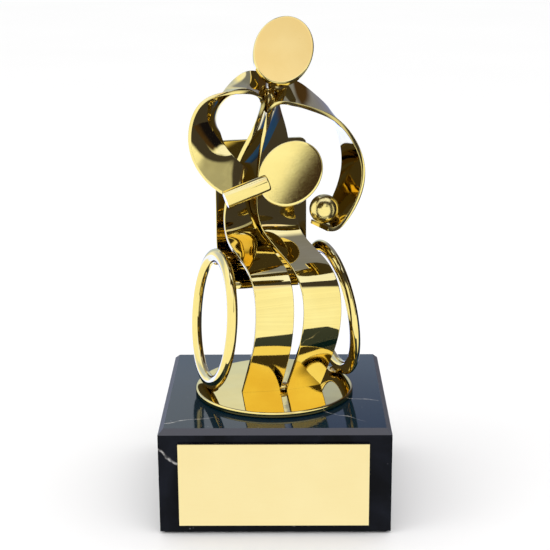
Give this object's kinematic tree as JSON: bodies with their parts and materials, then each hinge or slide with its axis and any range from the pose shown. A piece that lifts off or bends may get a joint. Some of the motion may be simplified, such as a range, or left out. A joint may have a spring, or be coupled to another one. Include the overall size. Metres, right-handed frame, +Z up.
{
  "type": "figure trophy",
  "caption": "Trophy: polished brass figure of a wheelchair table-tennis player, bent from flat strip, on a round disc and a square marble block with a blank plate.",
  "frame": {"origin": "bottom centre of the felt pad under the marble block, on the surface that the trophy stands on", "axes": "+Z up; -Y is the front, with the engraving plate; +X is to the right when looking at the front"},
  "size_m": [0.085, 0.0865, 0.1833],
  "materials": {
    "brass": "mirror polished",
    "braze": "polished filler metal, slightly rippled",
    "marble": "polished near-black marble with pale veins",
    "felt": "matt felt",
    "steel": "zinc plated",
    "plate_gold": "satin pale gold",
    "adhesive": "matt foam tape"
  },
  "bodies": {
    "root": {"ball": "brass", "base_disc": "brass", "braze_ball": "braze", "braze_feet": "braze", "braze_hand": "braze", "braze_head": "braze", "braze_hip": "braze", "braze_hips": "braze", "braze_left_wheel_foot": "braze", "braze_left_wheel_seat": "braze", "braze_neck": "braze", "braze_right_wheel_foot": "braze", "braze_right_wheel_seat": "braze", "chair_shell": "brass", "engraving_plate": "plate_gold", "felt_pad": "felt", "fixing_nut": "steel", "fixing_stud": "steel", "fixing_washer": "steel", "head_disc": "brass", "left_body_strip": "brass", "left_wheel_ring": "brass", "marble_base": "marble", "paddle_blade": "brass", "paddle_handle": "brass", "plate_adhesive": "adhesive", "right_body_strip": "brass", "right_wheel_ring": "brass"}
  },
  "joints": []
}
